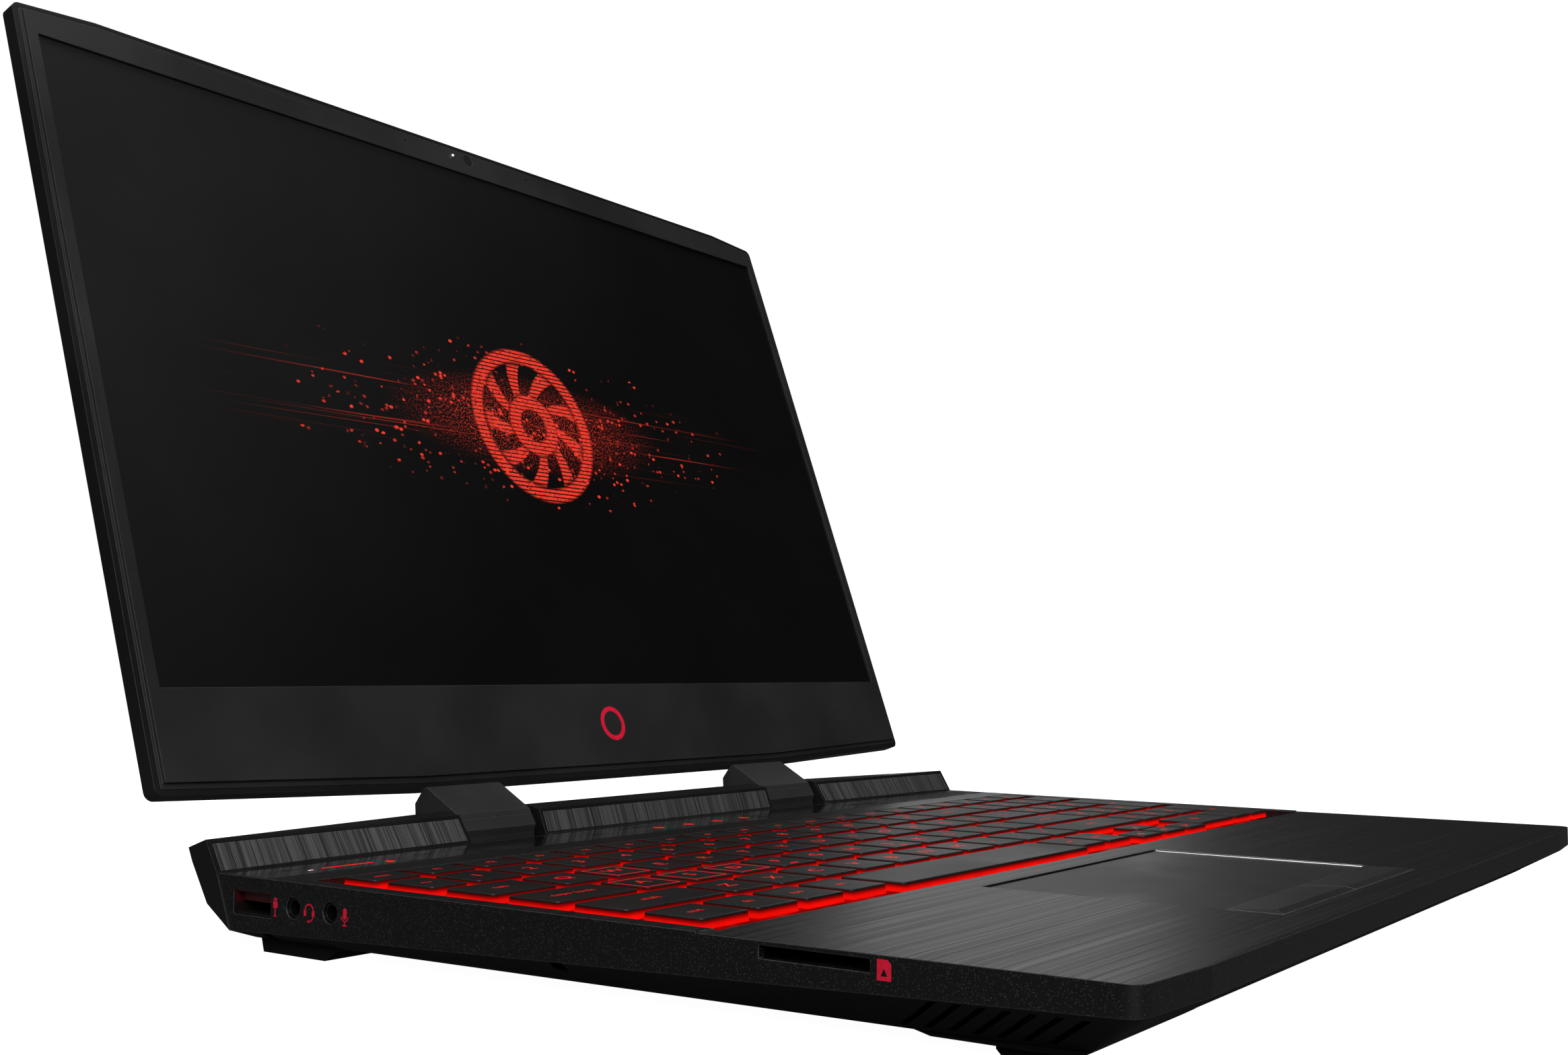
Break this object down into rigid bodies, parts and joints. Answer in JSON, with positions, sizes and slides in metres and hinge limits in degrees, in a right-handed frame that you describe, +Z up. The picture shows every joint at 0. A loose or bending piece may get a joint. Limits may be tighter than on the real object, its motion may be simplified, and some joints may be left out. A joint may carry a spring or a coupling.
{
  "type": "laptop computer",
  "caption": "Clamshell laptop computer with a raised hinge hump, backlit keyboard with number pad, touchpad with buttons, blowers and side and rear sockets.",
  "frame": {"origin": "middle of the bounding box at the table, with the lid open 110 degrees", "axes": "+X to the user's right, +Y away from the user, +Z up"},
  "size_m": [0.361, 0.3496, 0.2579],
  "materials": {
    "casing": "black speckled metal, brushed on top",
    "bottom_plastic": "fine matt grain",
    "rear_plastic": "satin",
    "brushed_metal": "dark, brushed upright",
    "gloss_strip": "smooth black",
    "backlit_tray": "lit red from below",
    "pad_surface": "smooth matt",
    "red_light": "lit red",
    "rubber": "matt",
    "socket_red": "dark red tongue",
    "socket_black": "matt",
    "circuit_board": "green solder mask",
    "copper": "bare copper",
    "inner_plastic": "matt",
    "drive_metal": "cast",
    "steel": "satin",
    "lid_metal": "dark satin",
    "bezel_plastic": "fine matt grain",
    "screen": "anti-glare panel",
    "camera": "small lens",
    "arm_metal": "dark grey satin",
    "emblem_red": "red inlay",
    "keycap": "matt top, translucent red skirt"
  },
  "bodies": {
    "base": {"top_cover": "casing", "bottom_cover": "bottom_plastic", "rear_cover": "rear_plastic", "hump_panels": "brushed_metal", "control_strip": "gloss_strip", "keyboard_tray": "backlit_tray", "touchpad": "pad_surface", "status_lights": "red_light", "front_feet": "rubber", "rear_feet": "rubber", "usb_sockets": "socket_red", "audio_jacks": "socket_black", "card_reader": "socket_black", "rear_sockets": "socket_black", "exhaust_grilles": "rear_plastic", "motherboard": "circuit_board", "heat_sinks": "copper", "heat_pipes": "copper", "fan_housings": "inner_plastic", "battery": "inner_plastic", "memory_modules": "circuit_board", "solid_state_drive": "circuit_board", "wireless_card": "circuit_board", "hard_drive": "drive_metal", "speakers": "inner_plastic", "bottom_screws": "steel", "hinge_brackets": "steel"},
    "lid": {"lid_back_cover": "lid_metal", "screen_bezel": "bezel_plastic", "screen_panel": "screen", "camera_module": "camera", "hinge_arms": "arm_metal", "hinge_shafts": "steel", "emblem": "emblem_red"},
    "left_button": {"touchpad_button_left": "pad_surface"},
    "right_button": {"touchpad_button_right": "pad_surface"},
    "power": {"power_button": "gloss_strip"},
    "left_fan": {"fan_rotor_left": "inner_plastic"},
    "right_fan": {"fan_rotor_right": "inner_plastic"},
    "escape_key_body": {"escape_key": "keycap"},
    "function_keys_body": {"function_keys": "keycap"},
    "number_keys_body": {"number_keys": "keycap"},
    "backspace_key_body": {"backspace_key": "keycap"},
    "upper_letter_keys_body": {"upper_letter_keys": "keycap"},
    "key_w_body": {"key_w": "keycap"},
    "middle_letter_keys_body": {"middle_letter_keys": "keycap"},
    "key_a_body": {"key_a": "keycap"},
    "key_s_body": {"key_s": "keycap"},
    "key_d_letter_body": {"key_d_letter": "keycap"},
    "enter_key_body": {"enter_key": "keycap"},
    "lower_letter_keys_body": {"lower_letter_keys": "keycap"},
    "left_shift_key_body": {"left_shift_key": "keycap"},
    "right_shift_key_body": {"right_shift_key": "keycap"},
    "modifier_keys_body": {"modifier_keys": "keycap"},
    "space_bar_body": {"space_bar": "keycap"},
    "arrow_left_key_body": {"arrow_left_key": "keycap"},
    "arrow_down_key_body": {"arrow_down_key": "keycap"},
    "arrow_right_key_body": {"arrow_right_key": "keycap"},
    "arrow_up_key_body": {"arrow_up_key": "keycap"},
    "keypad_keys_body": {"keypad_keys": "keycap"}
  },
  "joints": [
    {"name": "lid_hinge", "type": "hinge", "parent": "base", "child": "lid", "pos_m": [0, 0.08118, 0.0184], "axis": [-1, 0, 0], "range_deg": [-110, 25]},
    {"name": "left_button_press", "type": "slide", "parent": "base", "child": "left_button", "axis": [0, 0, -1], "range_m": [0, 0.0005], "stiffness_N_per_m": 900, "springref_m": -0.0006},
    {"name": "right_button_press", "type": "slide", "parent": "base", "child": "right_button", "axis": [0, 0, -1], "range_m": [0, 0.0005], "stiffness_N_per_m": 900, "springref_m": -0.0006},
    {"name": "power_press", "type": "slide", "parent": "base", "child": "power", "axis": [0, 0, -1], "range_m": [0, 0.0004], "stiffness_N_per_m": 900, "springref_m": -0.0005},
    {"name": "left_fan_spin", "type": "hinge", "parent": "base", "child": "left_fan", "pos_m": [-0.128, -0.00872, 0.009], "axis": [0, 0, 1], "continuous": true},
    {"name": "right_fan_spin", "type": "hinge", "parent": "base", "child": "right_fan", "pos_m": [0.128, -0.00872, 0.009], "axis": [0, 0, 1], "continuous": true},
    {"name": "escape_key_press", "type": "slide", "parent": "base", "child": "escape_key_body", "axis": [0, 0, -1], "range_m": [0, 0.0015], "stiffness_N_per_m": 200, "springref_m": -0.0015},
    {"name": "function_keys_press", "type": "slide", "parent": "base", "child": "function_keys_body", "axis": [0, 0, -1], "range_m": [0, 0.0015], "stiffness_N_per_m": 400, "springref_m": -0.0015},
    {"name": "number_keys_press", "type": "slide", "parent": "base", "child": "number_keys_body", "axis": [0, 0, -1], "range_m": [0, 0.0015], "stiffness_N_per_m": 400, "springref_m": -0.0015},
    {"name": "backspace_key_press", "type": "slide", "parent": "base", "child": "backspace_key_body", "axis": [0, 0, -1], "range_m": [0, 0.0015], "stiffness_N_per_m": 200, "springref_m": -0.0015},
    {"name": "upper_letter_keys_press", "type": "slide", "parent": "base", "child": "upper_letter_keys_body", "axis": [0, 0, -1], "range_m": [0, 0.0015], "stiffness_N_per_m": 400, "springref_m": -0.0015},
    {"name": "key_w_press", "type": "slide", "parent": "base", "child": "key_w_body", "axis": [0, 0, -1], "range_m": [0, 0.0015], "stiffness_N_per_m": 200, "springref_m": -0.0015},
    {"name": "middle_letter_keys_press", "type": "slide", "parent": "base", "child": "middle_letter_keys_body", "axis": [0, 0, -1], "range_m": [0, 0.0015], "stiffness_N_per_m": 400, "springref_m": -0.0015},
    {"name": "key_a_press", "type": "slide", "parent": "base", "child": "key_a_body", "axis": [0, 0, -1], "range_m": [0, 0.0015], "stiffness_N_per_m": 200, "springref_m": -0.0015},
    {"name": "key_s_press", "type": "slide", "parent": "base", "child": "key_s_body", "axis": [0, 0, -1], "range_m": [0, 0.0015], "stiffness_N_per_m": 200, "springref_m": -0.0015},
    {"name": "key_d_letter_press", "type": "slide", "parent": "base", "child": "key_d_letter_body", "axis": [0, 0, -1], "range_m": [0, 0.0015], "stiffness_N_per_m": 200, "springref_m": -0.0015},
    {"name": "enter_key_press", "type": "slide", "parent": "base", "child": "enter_key_body", "axis": [0, 0, -1], "range_m": [0, 0.0015], "stiffness_N_per_m": 200, "springref_m": -0.0015},
    {"name": "lower_letter_keys_press", "type": "slide", "parent": "base", "child": "lower_letter_keys_body", "axis": [0, 0, -1], "range_m": [0, 0.0015], "stiffness_N_per_m": 400, "springref_m": -0.0015},
    {"name": "left_shift_key_press", "type": "slide", "parent": "base", "child": "left_shift_key_body", "axis": [0, 0, -1], "range_m": [0, 0.0015], "stiffness_N_per_m": 200, "springref_m": -0.0015},
    {"name": "right_shift_key_press", "type": "slide", "parent": "base", "child": "right_shift_key_body", "axis": [0, 0, -1], "range_m": [0, 0.0015], "stiffness_N_per_m": 200, "springref_m": -0.0015},
    {"name": "modifier_keys_press", "type": "slide", "parent": "base", "child": "modifier_keys_body", "axis": [0, 0, -1], "range_m": [0, 0.0015], "stiffness_N_per_m": 300, "springref_m": -0.0015},
    {"name": "space_bar_press", "type": "slide", "parent": "base", "child": "space_bar_body", "axis": [0, 0, -1], "range_m": [0, 0.0015], "stiffness_N_per_m": 250, "springref_m": -0.0015},
    {"name": "arrow_left_key_press", "type": "slide", "parent": "base", "child": "arrow_left_key_body", "axis": [0, 0, -1], "range_m": [0, 0.0015], "stiffness_N_per_m": 200, "springref_m": -0.0015},
    {"name": "arrow_down_key_press", "type": "slide", "parent": "base", "child": "arrow_down_key_body", "axis": [0, 0, -1], "range_m": [0, 0.0015], "stiffness_N_per_m": 200, "springref_m": -0.0015},
    {"name": "arrow_right_key_press", "type": "slide", "parent": "base", "child": "arrow_right_key_body", "axis": [0, 0, -1], "range_m": [0, 0.0015], "stiffness_N_per_m": 200, "springref_m": -0.0015},
    {"name": "arrow_up_key_press", "type": "slide", "parent": "base", "child": "arrow_up_key_body", "axis": [0, 0, -1], "range_m": [0, 0.0015], "stiffness_N_per_m": 200, "springref_m": -0.0015},
    {"name": "keypad_keys_press", "type": "slide", "parent": "base", "child": "keypad_keys_body", "axis": [0, 0, -1], "range_m": [0, 0.0015], "stiffness_N_per_m": 500, "springref_m": -0.0015}
  ]
}
